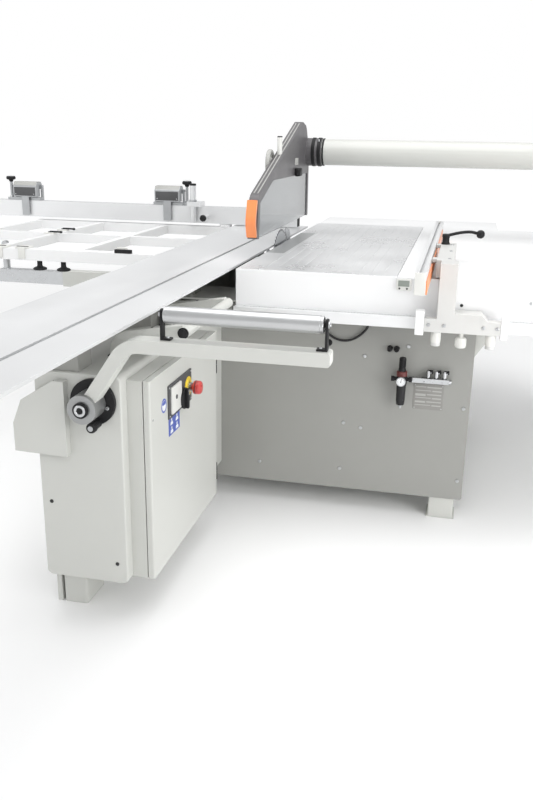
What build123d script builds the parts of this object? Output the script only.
from build123d import *
import math
import os

# Sliding-table panel saw, in millimetres.
# Origin: on the floor under the saw blade's arbor. +X to the rip-fence side, +Y the feed direction
# (away from the operator), +Z up. The blade lies in the plane x = 0 and the cut runs along Y.

# ---------------------------------------------------------------- driving dimensions
TABLE_Z = 878                 # top of the cast table
CARRIAGE_Z = 880              # top of the sliding carriage
BASE_X = (-316, 803)          # left and right ends of the base cabinet
BASE_Y = (-611, 600)          # front and back of the base cabinet
BASE_Z = (82, 750)            # underside and top of the base cabinet
SHEET = 4                     # sheet steel of the base
FRONT_Y = BASE_Y[0] - SHEET   # face of the front panel
COLUMN_X = (-316, -76)
COLUMN_Y = (-1534, FRONT_Y)
COLUMN_Z = (130, 720)
BOX_Y = (-1495, -893)         # electrical box and its door
BOX_Z = (COLUMN_Z[0] + SHEET, 701)
DOOR_X = (-32, -13)
DOOR_HINGE = (-21, -885)
TABLE_X = (10, 539)
TABLE_Y = (-715, 865)
RIGHT_END = 1420              # right end of the extension table
CARRIAGE_X = (-355, -10)
CARRIAGE_Y = (-2520, 680)
BEAM_X = (-316, -195)
BEAM_Z = (780, 826)
ARM_PIVOT = (-150, 650)       # loading-arm pivot, x and z
ARM_Y = (-1600, -1550)
ARM_HEIGHT = 34
ARM_HUB_Y = (-1612, -1546.5)  # front and back of the arm's hub
ARM_HUB_R = 38
FLANGE_R = 61                 # flange that carries the arm's shaft
ARM_Z = 819                   # centre line of the arm's level tube
ARM_END = 464
ROLLER_X = (62, 445)
ROLLER_Z = 897
ROLLER_R = 21
FENCE_Y = (560, 604)          # crosscut fence
FENCE_Z = (886, 967)
FENCE_X = (-1900, -40)
FENCE_PIVOT = (-400, 582)
RIP_X = (613, 645)             # rip fence
RIP_Y = (-1045, 480)
RIP_Z = (881, 945)
BLADE_R = 157.5
ARBOR_Z = 777.5
ARBOR_R = 15
TILT_R = 330                  # radius of the tilt slots about the line x = 0 at table height
MOTOR_Z = 575
PULLEY_R = (38, 50)           # arbor and motor pulleys
HUB = (456, 1233)             # guard hub, y and z
BOOM_R = 56
RUN = 0.05                    # radial running clearance of shafts
GAP = 0.5                     # gap between parts that move past each other

os.makedirs("parts", exist_ok=True)


# ---------------------------------------------------------------- helpers
def block(x, y, z):
    """Box from three (low, high) pairs."""
    centre = Pos((x[0] + x[1]) / 2, (y[0] + y[1]) / 2, (z[0] + z[1]) / 2)
    return centre * Box(x[1] - x[0], y[1] - y[0], z[1] - z[0])


def rod_x(x, y, z, r):
    """Cylinder along X between the two x values."""
    return Pos((x[0] + x[1]) / 2, y, z) * Rot(0, 90, 0) * Cylinder(r, x[1] - x[0])


def rod_y(y, x, z, r):
    """Cylinder along Y between the two y values."""
    return Pos(x, (y[0] + y[1]) / 2, z) * Rot(90, 0, 0) * Cylinder(r, y[1] - y[0])


def rod_z(z, x, y, r):
    """Cylinder along Z between the two z values."""
    return Pos(x, y, (z[0] + z[1]) / 2) * Cylinder(r, z[1] - z[0])


def slab_xz(points, y):
    """Prism of an outline of (x, z) points between two y values."""
    face = Plane.XZ * make_face(Polyline(*points, close=True))
    return Pos(0, y[1], 0) * extrude(face, y[1] - y[0])


def slab_yz(points, x):
    """Prism of an outline of (y, z) points between two x values."""
    face = Plane.YZ * make_face(Polyline(*points, close=True))
    return Pos(x[0], 0, 0) * extrude(face, x[1] - x[0])


def bent_bar_xz(points, radius, width, y):
    """Flat bar of the given width that follows a filleted (x, z) path, between two y values."""
    line = FilletPolyline(*points, radius=radius)
    face = Plane.XZ * trace(line, line_width=width)
    return Pos(0, y[1], 0) * extrude(face, y[1] - y[0])


def rounded(part, radius, axis, pick=None):
    """Fillet the edges parallel to an axis, all of them or those that pick keeps."""
    edges = part.edges().filter_by(axis)
    if pick is not None:
        edges = edges.filter_by(pick)
    return fillet(edges, radius)


def save(part, name):
    """Write one sub-part as a STEP file named after its node."""
    export_step(part if isinstance(part, Compound) else Compound([part]), f"parts/{name}.step")


def group(*parts):
    """Separate solids kept in one node."""
    solids = []
    for part in parts:
        solids.extend(part.solids())
    return Compound(solids)


# ---------------------------------------------------------------- base
BULKHEAD_Y = 334              # middle of each tilt bulkhead, either side of the blade
BULKHEAD_T = 8
PIN_R = 10


def arc_slot(y):
    """Banana slot for the tilt pins, centred on the tilt axis."""
    angles = (-4, 64)
    start, end = (math.radians(a) for a in angles)
    middle = (start + end) / 2
    points = [(TILT_R * math.sin(a), TABLE_Z - TILT_R * math.cos(a)) for a in (start, middle, end)]
    face = Plane.XZ * trace(ThreePointArc(*points), line_width=2 * (PIN_R + GAP))
    slot = Pos(0, y[1], 0) * extrude(face, y[1] - y[0])
    for x, z in (points[0], points[2]):
        slot += rod_y(y, x, z, PIN_R + GAP)
    return slot


def main_cabinet():
    body = block(BASE_X, BASE_Y, BASE_Z)
    body = rounded(body, 12, Axis.Z, lambda e: e.center().Y > 0)
    body -= block((BASE_X[0] + SHEET, BASE_X[1] - SHEET), (BASE_Y[0] - 1, BASE_Y[1] - SHEET),
                  (BASE_Z[0] + SHEET, BASE_Z[1] - 8))
    body -= block((-290, 480), (-380, 380), (BASE_Z[1] - 20, BASE_Z[1] + 1))
    body -= rod_y((BASE_Y[1] - 10, BASE_Y[1] + 1), DUST_X, DUST_Z, DUST_R)
    bulkheads = []
    for side in (-1, 1):
        middle = side * BULKHEAD_Y
        y = (middle - BULKHEAD_T / 2, middle + BULKHEAD_T / 2)
        wall = block((BASE_X[0] + SHEET, 520), y, (BASE_Z[0] + SHEET, BASE_Z[1] - 8))
        bulkheads.append(wall - arc_slot((y[0] - 1, y[1] + 1)))
    return group(body, *bulkheads)


DUST_X, DUST_Z, DUST_R = 150, 260, 60


def dust_port():
    tube = rod_y((BASE_Y[1] - SHEET, BASE_Y[1] + 90), DUST_X, DUST_Z, DUST_R)
    flange = rod_y((BASE_Y[1], BASE_Y[1] + 4), DUST_X, DUST_Z, DUST_R + 18)
    return tube + flange - rod_y((BASE_Y[1] - 10, BASE_Y[1] + 100), DUST_X, DUST_Z, DUST_R - 3)


def front_panel():
    sheet = block((BASE_X[0], BASE_X[1] + 3), (FRONT_Y, BASE_Y[0]), (BASE_Z[0] - 2, 738))
    sheet = rounded(sheet, 8, Axis.Y, lambda e: e.center().X > 0 and e.center().Z < 200)
    lip = block((BASE_X[1], BASE_X[1] + 3), (BASE_Y[0], BASE_Y[0] + 25), (BASE_Z[0] + 8, 738))
    return sheet + lip


FOOT_SPOTS = [((692, 780), (-609, -509)), ((692, 780), (500, 598)), ((-314, -226), (500, 598)),
              ((-49, 49), (-49, 49))]


def cabinet_feet():
    """Corner feet, and the middle foot under the saw unit that marks the origin."""
    feet = []
    for x, y in FOOT_SPOTS:
        foot = rounded(block(x, y, (6, BASE_Z[0])), 6, Axis.Z)
        pad = block((x[0] - 6, x[1] + 6), (y[0] + 2, y[1] - 2), (0, 6))
        feet.append(foot + pad)
    return group(*feet)


def base_column():
    corner = 16
    body = rounded(block(COLUMN_X, COLUMN_Y, COLUMN_Z), corner, Axis.Y)
    body = rounded(body, 5, Axis.Z, lambda e: e.center().Y < -1000)
    inside = block((COLUMN_X[0] + SHEET, COLUMN_X[1] - SHEET), (COLUMN_Y[0] + SHEET, COLUMN_Y[1] + 1),
                   (COLUMN_Z[0] + SHEET, COLUMN_Z[1] - SHEET))
    body -= rounded(inside, corner - SHEET, Axis.Y)
    body -= block((COLUMN_X[1] - corner, COLUMN_X[1] + 1), BOX_Y, BOX_Z)
    for x, z in ((-288, 354), (-105, 189)):
        body -= rod_y((COLUMN_Y[0] - 1, COLUMN_Y[0] + 10), x, z, 4)
    return body


def column_feet():
    foot = rounded(block((-309, -237), (-1457, -1337), (0, COLUMN_Z[0])), 8, Axis.Z)
    plate = block((-330, -315), (-1457, -1337), (0, COLUMN_Z[0]))
    return group(foot, plate)


def left_cover():
    outline = [(-371, 501), (-371, 579), (-345, 644), (-253, 702), (-222, 702), (-222, 497)]
    inner = [(-368, 480), (-368, 578), (-343, 642), (-252, 699), (-225, 699), (-225, 480)]
    y = (COLUMN_Y[0] - 24, COLUMN_Y[0])
    return slab_xz(outline, y) - slab_xz(inner, (y[0] + 3, y[1] + 1))


RAIL_X = (-300, -211)
RAIL_TOP = 840


def slide_beam():
    y = (-1534, 1066)
    beam = block(BEAM_X, y, BEAM_Z)
    beam -= block((BEAM_X[0] + 6, BEAM_X[1] - 6), (y[0] - 1, y[1] + 1), (BEAM_Z[0] + 6, BEAM_Z[1] - 6))
    rails = [block((x - 6, x + 6), y, (BEAM_Z[1], RAIL_TOP)) for x in RAIL_X]
    risers = []
    for spot, seat in (((-1520, -1440), COLUMN_Z), ((-1000, -920), COLUMN_Z),
                       ((-560, -480), BASE_Z), ((460, 540), BASE_Z)):
        risers.append(block(BEAM_X, spot, (seat[1], BEAM_Z[0])))
    return group(beam, *rails, *risers)


# ---------------------------------------------------------------- electrical box
def electrical_box():
    wall = 2.5
    x = (-216, DOOR_X[0] - 2)
    body = block(x, BOX_Y, BOX_Z)
    body -= block((x[0] + wall, x[1] + 1), (BOX_Y[0] + wall, BOX_Y[1] - wall),
                  (BOX_Z[0] + wall, BOX_Z[1] - wall))
    back = x[0] + wall
    for z in (220, 380, 540):
        body += block((back, back + 8), (BOX_Y[0] + 60, BOX_Y[1] - 60), (z - 17, z + 17))
        for step in range(7):
            y = BOX_Y[0] + 80 + step * 55
            body += block((back + 8, back + 68), (y, y + 45), (z - 36, z + 36))
    return group(body, door_hinge_leaves())


def box_door():
    wall = 2.5
    door = block(DOOR_X, BOX_Y, BOX_Z)
    door = rounded(door, 6, Axis.Z, lambda e: e.center().X > DOOR_X[1] - 5)
    door -= block((DOOR_X[0] - 1, DOOR_X[1] - wall), (BOX_Y[0] + wall, BOX_Y[1] - wall),
                  (BOX_Z[0] + wall, BOX_Z[1] - wall))
    for z in HINGE_Z:
        door += rod_z((z + 1, z + 30), *DOOR_HINGE, 6)
        door += block((DOOR_HINGE[0] - 3, DOOR_HINGE[0] + 3), (BOX_Y[1], DOOR_HINGE[1] - 4), (z + 1, z + 30))
        door -= rod_z((z, z + 31), *DOOR_HINGE, 3 + RUN)
    return door


HINGE_Z = (212, 588)


def door_hinge_leaves():
    """Fixed knuckles and pins on the box's back edge."""
    leaves = []
    for z in HINGE_Z:
        knuckle = rod_z((z - 30, z - 1), *DOOR_HINGE, 6)
        knuckle += block((DOOR_X[0] - 9, DOOR_HINGE[0]), (BOX_Y[1], DOOR_HINGE[1] + 3), (z - 30, z - 1))
        knuckle += rod_z((z - 30, z + 30), *DOOR_HINGE, 3)
        leaves.append(knuckle)
    return group(*leaves)


PLATE_Y = (-1364, -1166)
PLATE_Z = (555, 651)
RAISED_Y = (-1350, -1267)     # raised field of the plate
RAISED_Z = (565, 643)
SWITCH = (-1249, 584)
SWITCH_R = 31
STOP = (-1198, 603)


def operator_plate():
    x = DOOR_X[1]
    plate = block((x, x + 4), PLATE_Y, PLATE_Z)
    raised = block((x + 4, x + 9), RAISED_Y, RAISED_Z)
    collar = rod_x((x + 4, x + 7), *STOP, 24)
    stem = rod_x((x + 4, x + 14), *SWITCH, 8)
    sleeve = rod_x((x + 7, x + 16), *STOP, 14) - rod_x((x + 7, x + 17), *STOP, 8 + RUN)
    return group(plate, raised, collar, stem, sleeve)


def main_switch():
    x = DOOR_X[1]
    body = rod_x((x + 9.5, x + 15), *SWITCH, SWITCH_R)
    grip = block((x + 14, x + 24), (SWITCH[0] - 7, SWITCH[0] + 7),
                 (SWITCH[1] - SWITCH_R + 2, SWITCH[1] + SWITCH_R - 2))
    return rounded(grip, 3, Axis.X) + body - rod_x((x + 8, x + 15), *SWITCH, 8 + RUN)


def estop_button():
    x = DOOR_X[1]
    stem = rod_x((x + 12.5, x + 24), *STOP, 8)
    head = rod_x((x + 22, x + 46), *STOP, 20)
    return stem + fillet(head.edges().filter_by(GeomType.CIRCLE), 4)


# ---------------------------------------------------------------- tables
POCKET_Y = (-330, 430)


def main_table():
    top = block(TABLE_X, TABLE_Y, (862, TABLE_Z))
    skirt = block(TABLE_X, TABLE_Y, (838, 862))
    skirt -= block((TABLE_X[0] + 16, TABLE_X[1] - 16), (TABLE_Y[0] + 16, TABLE_Y[1] - 16), (830, 870))
    table = top + skirt
    for y in (-520, 560, 700):
        table += block((TABLE_X[0] + 8, TABLE_X[1] - 8), (y - 6, y + 6), (838, 863))
    for x in (340, 440):
        table += block((x - 6, x + 6), (TABLE_Y[0] + 8, TABLE_Y[1] - 8), (838, 863))
    table -= block((0, 320), POCKET_Y, (830, 862))
    table -= block((0, INSERT_X[1]), INSERT_Y, (TABLE_Z - INSERT_T, TABLE_Z + 1))
    for step in range(11):
        x = 92 + step * 40
        table -= block((x, x + 4), (TABLE_Y[0] + 60, TABLE_Y[1] - 60), (TABLE_Z - 1, TABLE_Z + 1))
    for y in (-600, 640):
        for x in (60, 480):
            table += block((x - 30, x + 30), (y - 30, y + 30), (BASE_Z[1], 863))
    return table


INSERT_X = (10, 78)
INSERT_Y = (-300, 400)
INSERT_T = 6


def table_insert():
    return block(INSERT_X, INSERT_Y, (TABLE_Z - INSERT_T, TABLE_Z))


def table_apron():
    sheet = block((4, RIGHT_END), (TABLE_Y[0] - 4, TABLE_Y[0]), (750, TABLE_Z - 1))
    end = block((4, 8), (TABLE_Y[0], TABLE_Y[0] + 300), (750, TABLE_Z - 1))
    fold = block((8, RIGHT_END), (TABLE_Y[0], TABLE_Y[0] + 24), (750, 753))
    return sheet + end + fold


def extension_tables():
    right = block((TABLE_X[1] + 1, RIGHT_END), TABLE_Y, (848, TABLE_Z - 1))
    right -= block((TABLE_X[1] + 5, RIGHT_END - 4), (TABLE_Y[0] + 4, TABLE_Y[1] - 4), (840, TABLE_Z - 5))
    rear = block((TABLE_X[0], 900), (TABLE_Y[1] + 1, 1240), (848, TABLE_Z - 1))
    rear -= block((TABLE_X[0] + 4, 896), (TABLE_Y[1] + 5, 1236), (840, TABLE_Z - 5))
    right -= block((POST_X[0] - 8, RIGHT_END + 1), (HUB[0] - 58, HUB[0] + 58), (840, TABLE_Z))
    return group(right, rear)


def support_brackets():
    """Gussets under the right extension table, one under the rear table, and the swing arm's pivot."""
    gusset = [(BASE_X[1] + 3, 600), (BASE_X[1] + 3, 847), (1250, 847), (1250, 800), (870, 700)]
    right = block((1250, 1288), (-600, 560), (805, 847))
    for y in ((-600, -560), (520, 560)):
        right += slab_xz(gusset, y)
    rear = slab_yz([(BASE_Y[1], 560), (BASE_Y[1], 834), (900, 834), (900, 847), (1200, 847), (1200, 810)],
                   (300, 340))
    return group(right, rear, swing_post())


RAIL_Y = (-757, TABLE_Y[0] - 4)
RAIL_Z = (720, 757)


def fence_rail():
    bar = block((6, RIGHT_END), RAIL_Y, RAIL_Z)
    return bar - block((5, RIGHT_END + 1), (RAIL_Y[0] + 4, RAIL_Y[1] - 4), (RAIL_Z[0] + 4, RAIL_Z[1] - 4))


# ---------------------------------------------------------------- rip fence
def fence_carriage():
    saddle = slab_xz([(676, 764), (676, 784), (812, 784), (832, 764)], (-800, -724))
    bar = block((638, 872), (-800, -762), (722, 764))
    ends = []
    for x in ((612, 637), (873, 892)):
        ends.append(block(x, (-800, -762), (711, 785)))
    upright = block((676, 730), (-800, -724), (784, 938))
    arm = block((661, 715), (-724, -262), (882, 938))
    for y in ((-700, -660), (-330, -290)):
        arm += block((RIP_X[1] + 1, 661), y, (926, 938))
    knobs = [rod_z((676, 722), x, -781, 15) for x in (677, 845)]
    shoe = block((700, 808), (-757, -730), (757 + GAP, 765))
    return group(saddle + upright + arm + bar + shoe, *ends, *knobs)


def rip_fence():
    body = block(RIP_X, RIP_Y, RIP_Z)
    body -= block((RIP_X[0] + 4, RIP_X[1] - 4), (RIP_Y[0] + 4, RIP_Y[1] - 4), (RIP_Z[0] + 4, RIP_Z[1] - 14))
    middle = (RIP_X[0] + RIP_X[1]) / 2
    slot = block((middle - 4, middle + 4), (RIP_Y[0] - 1, RIP_Y[1] + 1), (RIP_Z[1] - 5, RIP_Z[1] + 1))
    pocket = block((middle - 9, middle + 9), (RIP_Y[0] - 1, RIP_Y[1] + 1), (RIP_Z[1] - 11, RIP_Z[1] - 5))
    return body - slot - pocket


LEVER = (676, -305)


def fence_lever():
    boss = rod_z((938.5, 975), *LEVER, 15)
    bar = slab_xz([(668, 960), (668, 975), (760, 992), (790, 984), (788, 974), (757, 980)],
                  (LEVER[1] - 8, LEVER[1] + 8))
    ball = Pos(796, LEVER[1], 978) * Sphere(15)
    return boss + bar + ball


def fence_adjust_knob():
    knob = rod_z((674, 708), 755, -781, 18)
    return fillet(knob.edges().filter_by(GeomType.CIRCLE), 4) + rod_z((708, 721.5), 755, -781, 7)


# ---------------------------------------------------------------- sliding carriage
def sliding_carriage():
    x0, x1 = CARRIAGE_X
    outline = [(x0, 840), (x0, CARRIAGE_Z), (x1, CARRIAGE_Z), (x1, 872), (-75, 872), (-75, 840)]
    body = slab_xz(outline, CARRIAGE_Y)
    y = (CARRIAGE_Y[0] - 1, CARRIAGE_Y[1] + 1)
    body -= block((-323, -188), y, (839, 856))
    body -= block((-349, -329), y, (846, 873))
    body -= block((-182, -146), y, (846, 873))
    body -= block((-108, -81), y, (846, 873))
    for low in (-323, -276, -229):
        body -= block((low, low + 41), y, (862, 873))
    body -= block((-133, -121), y, (873, CARRIAGE_Z + 1))
    body -= block((-139, -115), y, (860, 873))
    return body


def roller_cage():
    centre_z = (RAIL_TOP + 856) / 2
    strip = block((-290, -221), (-1100, 300), (centre_z - 2, centre_z + 2))
    rollers = []
    for step in range(8):
        y = -1060 + step * 188
        for x in RAIL_X:
            rollers.append(rod_x((x - 6, x + 6), y, centre_z, 7.7))
        rollers.append(rod_x((RAIL_X[0] + 6, -290), y, centre_z, 3))
        rollers.append(rod_x((-221, RAIL_X[1] - 6), y, centre_z, 3))
    cage = strip
    for roller in rollers:
        cage += roller
    return cage


FRAME_X = (-1400, -356)
FRAME_Y = (-470, 604)
FRAME_Z = (828, 872)


def outrigger_frame():
    side = block((-380, FRAME_X[1]), FRAME_Y, (832, 868))
    front = block(FRAME_X, (FRAME_Y[0], FRAME_Y[0] + 50), FRAME_Z)
    rear = block(FRAME_X, (FRAME_Y[1] - 50, FRAME_Y[1]), FRAME_Z)
    frame = side + front + rear
    for x in (-1400, -1060, -720):
        frame += block((x, x + 30), FRAME_Y, (FRAME_Z[0] + 2, FRAME_Z[1] - 2))
    frame += block(FRAME_X, (60, 90), (FRAME_Z[0] + 2, FRAME_Z[1] - 2))
    frame += rod_z((FRAME_Z[1] - 2, FENCE_Z[0] - 1), *FENCE_PIVOT, 30)
    frame += rod_z((FRAME_Z[1] - 2, FENCE_Z[0] + 20), *FENCE_PIVOT, 10)
    return frame


def outrigger_knobs():
    knobs = []
    for x in (-860, -760):
        knob = rod_z((790, 806), x, FRAME_Y[0] + 25, 26) + rod_z((806, FRAME_Z[0]), x, FRAME_Y[0] + 25, 10)
        knobs.append(knob)
    for x in (-1015, -920):
        knobs.append(block((x - 26, x + 26), (FRAME_Y[0] + 4, FRAME_Y[0] + 46), (FRAME_Z[1], 880)))
    return group(*knobs)


def crosscut_fence():
    body = block(FENCE_X, FENCE_Y, FENCE_Z)
    inner_x = (FENCE_X[0] - 1, FENCE_X[1] + 1)
    body -= block(inner_x, (FENCE_Y[0] + 4, FENCE_Y[1] - 4), (FENCE_Z[0] + 30, FENCE_Z[1] - 14))
    body -= block(inner_x, (578, 586), (FENCE_Z[1] - 6, FENCE_Z[1] + 1))
    body -= block(inner_x, (573, 591), (FENCE_Z[1] - 12, FENCE_Z[1] - 6))
    body -= rod_z((FENCE_Z[0] - 1, FENCE_Z[0] + 21), *FENCE_PIVOT, 10 + RUN)
    return group(body, hold_down_post())


def stop_slider(x, knob_side):
    """Saddle on the fence's top slot, with its clamping knob on a stalk."""
    z = FENCE_Z[1] + GAP
    saddle = block((x - 76, x + 76), (FENCE_Y[0], FENCE_Y[1]), (z, z + 14))
    for side in (-1, 1):
        ear = sorted((x + side * 66, x + side * 76))
        saddle += block(ear, (FENCE_Y[1] - 16, FENCE_Y[1]), (z, z + 74))
    pin = rod_x((x - 72, x + 72), FENCE_Y[1] - 8, z + 66, 6)
    knob_x = x + knob_side * 92
    foot = block((knob_x - 17, knob_x + 17), (FENCE_Y[0] + 8, FENCE_Y[1] - 8), (z, z + 12))
    stalk = rod_z((z + 10, z + 102), knob_x, 582, 7)
    head = rod_z((z + 100, z + 116), knob_x, 582, 20)
    return saddle + foot + stalk + head + pin


def stop_flap(x):
    """Black housing hinged on the slider; its blade hangs in front of the fence."""
    z = FENCE_Z[1] + GAP
    pin_y, pin_z = FENCE_Y[1] - 8, z + 66
    outline = [(545, z + 18), (545, z + 70), (560, z + 90), (600, z + 90), (610, z + 78), (610, z + 54),
               (584, z + 54), (584, z + 18)]
    body = slab_yz(outline, (x - 64, x + 64))
    blade = block((x - 20, x + 20), (545, 551), (FENCE_Z[0] + 8, z + 20))
    return body + blade - rod_x((x - 70, x + 70), pin_y, pin_z, 6 + RUN)


def hold_down_post():
    """Light column and collar that clamp on the fence's front face."""
    x, y = -552, 540
    post = rod_z((FENCE_Z[0] + 4, 1072), x, y, 15)
    collar = block((-578, -512), (y - 19, FENCE_Y[1]), (FENCE_Z[1], 989))
    knob = rod_y((y - 48, y - 19), -490, FENCE_Z[0] + 30, 13)
    bridge = block((-500, -480), (y - 19, FENCE_Y[0]), (FENCE_Z[0] + 20, FENCE_Z[0] + 40))
    return group(post + collar, bridge + knob)


# ---------------------------------------------------------------- outrigger swing arm
SWING = (-352, 67)


def swing_post():
    """Pivot bracket of the swing arm, on the cabinet's left wall."""
    plate = block((BASE_X[0] - 6, BASE_X[0]), (7, 127), (600, 740))
    parts = plate
    for z in ((610, 625), (715, 730)):
        parts += block((SWING[0], BASE_X[0] - 6), (47, 87), z) + rod_z(z, *SWING, 20)
    return parts + rod_z((610, 730), *SWING, 10)


def swing_arm():
    hub = rod_z((626, 714), *SWING, 19) - rod_z((620, 720), *SWING, 10 + RUN)
    tube = block((-1010, SWING[0] - 18), (SWING[1] - 30, SWING[1] + 30), (635, 705))
    tube -= block((-1011, -420), (SWING[1] - 25, SWING[1] + 25), (640, 700))
    return tube + hub - rod_z((620, 720), *SWING, 10 + RUN)


def swing_telescope():
    inner = block((-1330, -620), (SWING[1] - 24.5, SWING[1] + 24.5), (640.5, 699.5))
    inner -= block((-1326, -619), (SWING[1] - 20, SWING[1] + 20), (645, 695))
    post = rod_z((699, 806), -1300, SWING[1], 16)
    wheel = rod_y((SWING[1] - 12, SWING[1] + 12), -1300, 812, 14)
    return inner + post + wheel


# ---------------------------------------------------------------- overhead guard
POST_X = (1300, 1400)


def guard_post():
    foot = block((1250, 1450), (356, 556), (0, 14))
    post = rounded(block(POST_X, (406, 506), (14, 1176)), 8, Axis.Z)
    clamp = rounded(block((1290, 1410), (HUB[0] - 76, HUB[0] + 76), (1150, HUB[1] + 76)), 14, Axis.X)
    clamp -= rod_x((1280, 1420), *HUB, BOOM_R)
    foot_holes = [rod_z((-1, 15), x, y, 7) for x in (1270, 1430) for y in (376, 536)]
    post += foot
    for hole in foot_holes:
        post -= hole
    return post + clamp


def guard_boom():
    """Tube that carries the guard and draws off its dust; a collar at its end takes the hose."""
    start = COLLAR_END + 1
    tube = rod_x((start, 1470), *HUB, BOOM_R) + rod_x((1420, 1470), *HUB, BOOM_R + 4)
    return tube - rod_x((start - 1, 1471), *HUB, BOOM_R - 3)


GUARD_X = (-15, 21)
GUARD_LINE = [(-478, 948), (-462, 1084), (322, 1345), (400, 1330), (470, 1230), (478, 952)]
CLAMP = (-100, 1198)          # clamping handwheel on the sloping strut, y and z
KNOB_DEPTH = 10
COLLAR_END = 88               # end of the collar that turns on the boom


def guard_frame():
    path = FilletPolyline(*GUARD_LINE, radius=[30, 30, 40, 50])
    face = Plane.YZ * trace(path, line_width=30)
    frame = Pos(GUARD_X[0], 0, 0) * extrude(face, GUARD_X[1] - GUARD_X[0])
    cheek = slab_yz([(-290, 1141), (322, 1340), (400, 1325), (470, 1225), (470, 1141)], GUARD_X)
    collar = rod_x((GUARD_X[1] - 1, COLLAR_END), *HUB, 60)
    post = rod_z((1215, 1298), 3, -60, 10)
    frame = frame + cheek + collar + post - rod_x((30, COLLAR_END + 1), *HUB, BOOM_R - 3)
    frame -= rod_x((GUARD_X[0] - 1, GUARD_X[0] + KNOB_DEPTH), *CLAMP, 6 + RUN)
    return frame - guard_panes()[0] - guard_panes()[1]


def guard_panes():
    """The two clear side panes, let into grooves of the frame."""
    outline = [(-462, 950), (-450, 1080), (-255, 1146), (462, 1146), (462, 952)]
    inside = GUARD_X[0] + 4, GUARD_X[1] - 4
    left = slab_yz(outline, (inside[0], inside[0] + 3))
    right = slab_yz(outline, (inside[1] - 3, inside[1]))
    return left, right


def guard_window():
    return group(*guard_panes())


def guard_nose():
    """Rounded bumper on the guard's leading edge."""
    path = Polyline((-500, 958), (-520, 1010), (-494, 1084))
    face = Plane.YZ * trace(FilletPolyline(*path.vertices(), radius=60), line_width=12)
    return Pos(GUARD_X[0], 0, 0) * extrude(face, GUARD_X[1] - GUARD_X[0])


def guard_knob():
    stem = rod_x((-18, GUARD_X[0] + KNOB_DEPTH - 1), *CLAMP, 6)
    wheel = rod_x((-38, -18), *CLAMP, 54)
    return stem + fillet(wheel.edges().filter_by(GeomType.CIRCLE), 4)


# ---------------------------------------------------------------- saw unit
ROD_Y = 250
ROD_X = 75


def tilt_frame():
    outline = [(40, 480), (110, 480), (330, 600), (440, 640), (440, 720), (310, 760), (110, 800), (40, 800)]
    frame = slab_xz(outline, (-316, -300)) + slab_xz(outline, (300, 316))
    frame += block((420, 440), (-316, 316), (640, 700))
    for side in (-1, 1):
        y = side * ROD_Y
        near, far = sorted((y - side * 15, side * 301))
        for z in ((490, 502), (788, 800)):
            frame += block((ROD_X - 15, ROD_X + 15), (near, far), z)
        frame += rod_z((490, 800), ROD_X, y, 12)
        for angle in (45, 60):
            x = TILT_R * math.sin(math.radians(angle))
            z = TABLE_Z - TILT_R * math.cos(math.radians(angle))
            frame += rod_y(sorted((side * 310, side * 345)), x, z, PIN_R)
    housing = rod_x((14, 120), SCORE_Y, SCORE_Z, 22)
    frame += housing + block((40, 80), (-301, SCORE_Y), (785, 810))
    return frame - rod_x((13, 90), SCORE_Y, SCORE_Z, 10 + RUN)


SCORE_Y, SCORE_Z = -225, 820


def scoring_blade():
    disc = rod_x((-1.5, 1.5), SCORE_Y, SCORE_Z, 60) + rod_x((-8, 13), SCORE_Y, SCORE_Z, 18)
    return disc + rod_x((13, 88), SCORE_Y, SCORE_Z, 10)


def saw_slide():
    x = (60, 90)
    plate = block(x, (-270, 270), (600, 720)) + block(x, (-90, 90), (470, 790))
    plate += block((89, 380), (-90, 90), (470, 480))
    plate += rod_x((20, 90), 0, ARBOR_Z, 34)
    plate += block((2, 61), (172, 226), (660, 700))
    plate -= rod_x((19, 91), 0, ARBOR_Z, ARBOR_R + RUN)
    for side in (-1, 1):
        plate -= rod_z((590, 730), ROD_X, side * ROD_Y, 12 + RUN)
    return plate - rod_x((59, 91), 0, MOTOR_Z, 30)


def saw_arbor():
    shaft = rod_x((-26, 128), 0, ARBOR_Z, ARBOR_R)
    shaft += rod_x((1.6, 12), 0, ARBOR_Z, 32) + rod_x((-11, -1.6), 0, ARBOR_Z, 32)
    shaft += rod_x((-20, -11), 0, ARBOR_Z, 20)
    return shaft + rod_x((96, 124), 0, ARBOR_Z, PULLEY_R[0])


TOOTH_COUNT = 48


def saw_blade():
    points = []
    for tooth in range(TOOTH_COUNT):
        start = 2 * math.pi * tooth / TOOTH_COUNT
        for share, radius in ((0.0, BLADE_R), (0.12, BLADE_R - 11), (0.45, BLADE_R - 9)):
            angle = start + share * 2 * math.pi / TOOTH_COUNT
            points.append((radius * math.cos(angle), ARBOR_Z + radius * math.sin(angle)))
    return slab_yz(points, (-1.6, 1.6)) - rod_x((-2, 2), 0, ARBOR_Z, ARBOR_R)


def riving_knife():
    inner = BLADE_R + 6
    low, high = math.radians(-32), math.radians(60)
    arc = ThreePointArc(*[(inner * math.cos(a), ARBOR_Z + inner * math.sin(a))
                          for a in (low, (low + high) / 2, high)])
    outer = Polyline(arc @ 1, (112, 930), (180, 915), (222, 840), (226, 660), arc @ 0)
    face = Plane.YZ * make_face(Curve() + [arc, outer])
    return Pos(-1.4, 0, 0) * extrude(face, 2.8) + block((1.3, 2), (176, 222), (664, 696))


def saw_motor():
    body = rod_x((136, 360), 0, MOTOR_Z, 78)
    body += rod_x((130, 136), 0, MOTOR_Z, 60) + rod_x((360, 378), 0, MOTOR_Z, 70)
    body += block((170, 330), (-70, 70), (480, 520))
    body += block((200, 280), (-50, 50), (640, 672))
    return body - rod_x((129, 160), 0, MOTOR_Z, 14 + RUN)


def motor_pulley():
    return rod_x((96, 124), 0, MOTOR_Z, PULLEY_R[1]) + rod_x((92, 158), 0, MOTOR_Z, 14)


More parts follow.
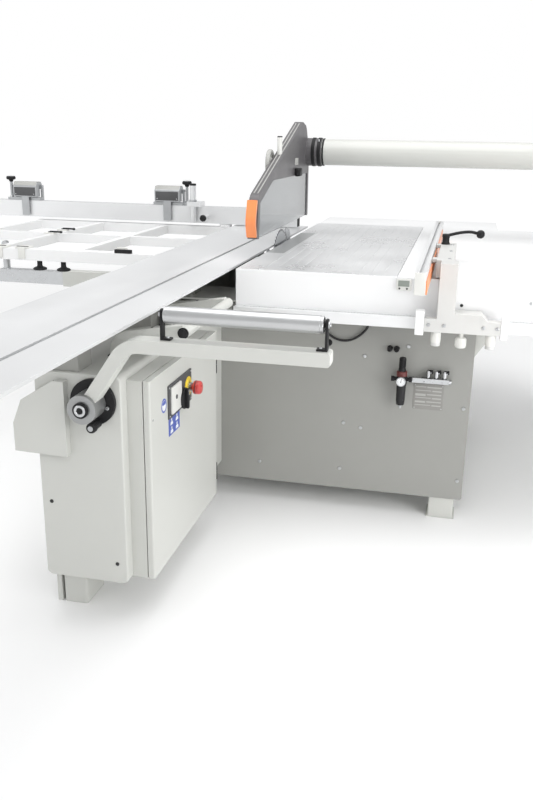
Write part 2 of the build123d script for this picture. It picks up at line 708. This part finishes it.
def drive_belt():
    """Flat ribbed belt round both pulleys."""
    distance = ARBOR_Z - MOTOR_Z
    tilt = math.asin((PULLEY_R[1] - PULLEY_R[0]) / distance)

    def loop(extra):
        small, large = PULLEY_R[0] + extra, PULLEY_R[1] + extra
        c, s = math.cos(tilt), math.sin(tilt)
        upper = [(small * c, ARBOR_Z + small * s), (0, ARBOR_Z + small), (-small * c, ARBOR_Z + small * s)]
        lower = [(-large * c, MOTOR_Z + large * s), (0, MOTOR_Z - large), (large * c, MOTOR_Z + large * s)]
        edges = [ThreePointArc(*upper), Line(upper[2], lower[0]), ThreePointArc(*lower),
                 Line(lower[2], upper[0])]
        return Plane.YZ * make_face(Curve() + edges)

    return Pos(99, 0, 0) * (extrude(loop(4.4), 22) - extrude(loop(0.4), 22))


# ---------------------------------------------------------------- loading arm
def arm_flange():
    x, z = ARM_PIVOT
    disc = rod_y((-1546, COLUMN_Y[0]), x, z, FLANGE_R)
    shaft = rod_y((ARM_HUB_Y[0] - 7, -1546), x, z, 15)
    sleeve = rod_y((-1572, -1546), *PLUNGER, 11) - rod_y((-1573, -1545), *PLUNGER, 4 + RUN)
    screws = []
    for angle in (-15, 75, 165):
        turn = math.radians(angle)
        screws.append(rod_y((-1550, -1546), x + 44 * math.cos(turn), z + 44 * math.sin(turn), 4))
    washer = rod_y((ARM_HUB_Y[0] - 7, ARM_HUB_Y[0] - 1.5), x, z, 20)
    return group(disc + shaft + sleeve + washer, *screws)


PLUNGER = (-136, 596)


def index_knob():
    stem = rod_y((-1574, -1550), *PLUNGER, 4)
    return stem + rod_y((-1594, -1573), *PLUNGER, 13)


def loading_arm():
    x, z = ARM_PIVOT
    bend = (-35, ARM_Z)
    wall = 3
    outer = bent_bar_xz([(x, z), bend, (ARM_END, ARM_Z)], 66, ARM_HEIGHT, ARM_Y)
    outer = rounded(outer, 7, Axis.Y, lambda e: e.center().X > 400)
    inner = bent_bar_xz([(x, z), bend, (ARM_END - wall, ARM_Z)], 66, ARM_HEIGHT - 2 * wall,
                        (ARM_Y[0] + wall, ARM_Y[1] - wall))
    hub = rod_y(ARM_HUB_Y, x, z, ARM_HUB_R)
    return outer - inner + hub - rod_y(ARM_HUB_Y, x, z, 15 + RUN)


BRACKET_X = ((52, 58), (449, 455))


def roller_brackets():
    y = (ARM_Y[0] + 14, ARM_Y[1] - 14)
    top = ARM_Z + ARM_HEIGHT / 2
    parts = []
    for x in BRACKET_X:
        plate = block(x, y, (top, ROLLER_Z + 14))
        plate = rounded(plate, 8, Axis.X, lambda e: e.center().Z > ROLLER_Z)
        inward = x[1] if x[0] < 200 else x[0]
        foot = block(sorted((inward, inward + (20 if x[0] < 200 else -20))), y, (top, top + 5))
        parts.append(plate + foot)
    axle = rod_x((BRACKET_X[0][0] - 4, BRACKET_X[1][1] + 4), -1575, ROLLER_Z, 6)
    return parts[0] + parts[1] + axle


def support_roller():
    tube = rod_x(ROLLER_X, -1575, ROLLER_Z, ROLLER_R)
    tube -= rod_x((ROLLER_X[0] + 12, ROLLER_X[1] - 12), -1575, ROLLER_Z, ROLLER_R - 3)
    return tube - rod_x((ROLLER_X[0] - 1, ROLLER_X[1] + 1), -1575, ROLLER_Z, 6 + RUN)


def brace_frame():
    """Two bent hooks on the column's top, joined by a tube along Y."""
    hooks = None
    for y in (-1330, -930):
        hook = bent_bar_xz([(-165, COLUMN_Z[1]), (-165, 770), (30, 800)], 44, 38, (y - 15, y + 15))
        hooks = hook if hooks is None else hooks + hook
    return hooks + rod_y((-1352, -908), 32, 800, 15) + rod_y((-1364, -1352), 32, 800, 11)


# ---------------------------------------------------------------- pneumatics and cable
REG = (572, -655)


def regulator():
    body = rod_z((503, 549), *REG, 18) + block((537, 591), (REG[1] - 9, REG[1] + 9), (512, 532))
    body += rod_z((430, 503), *REG, 17) + rod_z((417, 430), *REG, 8)
    body += block((562, 582), (REG[1] + 10, FRONT_Y), (510, 540))
    gauge = rod_y((REG[1] - 34, REG[1] - 10), REG[0], 519, 16)
    return body + gauge + rod_z((549, 560), *REG, 8)


def regulator_knob():
    return rod_z((549.5, 598), *REG, 12.5) - rod_z((549, 561), *REG, 8 + RUN)


def manifold():
    bar = block((591.5, 730), (-645, -629), (509, 525))
    for x in (640, 700):
        bar += block((x, x + 16), (-630, FRONT_Y), (511, 523))
    for x in (660, 687, 714):
        bar += rod_z((520, 552), x, -637, 7) + rod_x((x - 3, x + 13), -637, 548, 6)
    return bar


CLIP_X = (292, 449)
CABLE_Y = -625
CABLE_R = 4


def cable_glands():
    parts = []
    for x in (524, 547):
        parts.append(rod_y((-640, FRONT_Y), x, 616, 10))
    parts.append(rod_y((-627, FRONT_Y), 312, 621, 12))
    for x in CLIP_X:
        parts.append(block((x - 9, x + 9), (CABLE_Y - 9, FRONT_Y), (724, 738)))
    return group(*parts)


def sensor_cable():
    """Lead that hangs between its two clips."""
    route = [(292, 724), (292, 692), (306, 658), (330, 640), (360, 632), (392, 637), (420, 655),
             (443, 680), (449, 704), (449, 724)]
    points = [(x, CABLE_Y, z) for x, z in route]
    corners = []
    for a, b, c in zip(points, points[1:], points[2:]):
        before, after = Vector(*b) - Vector(*a), Vector(*c) - Vector(*b)
        turn = math.radians(before.get_angle(after))
        corners.append(0.45 * min(before.length, after.length) / math.tan(turn / 2))
    print("sensor_cable radii", [round(r) for r in corners])
    path = FilletPolyline(*points, radius=corners)
    print("sensor_cable length", round(path.length))
    section = Plane(origin=path @ 0, z_dir=path % 0) * Circle(CABLE_R)
    return sweep(section, path)


# ---------------------------------------------------------------- write every node
NODES = {
    "main_cabinet": main_cabinet, "dust_port": dust_port, "front_panel": front_panel,
    "cabinet_feet": cabinet_feet, "base_column": base_column, "column_feet": column_feet,
    "left_cover": left_cover, "slide_beam": slide_beam, "electrical_box": electrical_box,
    "box_door": box_door, "operator_plate": operator_plate,
    "main_switch": main_switch, "estop_button": estop_button, "main_table": main_table,
    "table_insert": table_insert, "table_apron": table_apron, "extension_tables": extension_tables,
    "support_brackets": support_brackets, "fence_rail": fence_rail, "fence_carriage": fence_carriage,
    "rip_fence": rip_fence, "fence_lever": fence_lever, "fence_adjust_knob": fence_adjust_knob,
    "sliding_carriage": sliding_carriage, "roller_cage": roller_cage,
    "outrigger_frame": outrigger_frame, "outrigger_knobs": outrigger_knobs,
    "crosscut_fence": crosscut_fence,
    "swing_arm": swing_arm, "swing_telescope": swing_telescope, "guard_post": guard_post,
    "guard_boom": guard_boom, "guard_frame": guard_frame, "guard_window": guard_window,
    "guard_nose": guard_nose, "guard_knob": guard_knob, "tilt_frame": tilt_frame,
    "scoring_blade": scoring_blade, "saw_slide": saw_slide, "saw_arbor": saw_arbor,
    "saw_blade": saw_blade, "riving_knife": riving_knife, "saw_motor": saw_motor,
    "motor_pulley": motor_pulley, "drive_belt": drive_belt, "arm_flange": arm_flange,
    "index_knob": index_knob, "loading_arm": loading_arm, "roller_brackets": roller_brackets,
    "support_roller": support_roller, "brace_frame": brace_frame, "regulator": regulator,
    "regulator_knob": regulator_knob, "manifold": manifold, "cable_glands": cable_glands,
    "sensor_cable": sensor_cable,
}
STOPS = {"inner": (-688, 1), "outer": (-1448, -1)}

for node, make in NODES.items():
    save(make(), node)
for place, (stop_x, knob_side) in STOPS.items():
    save(stop_slider(stop_x, knob_side), f"stop_slider_{place}")
    save(stop_flap(stop_x), f"stop_flap_{place}")
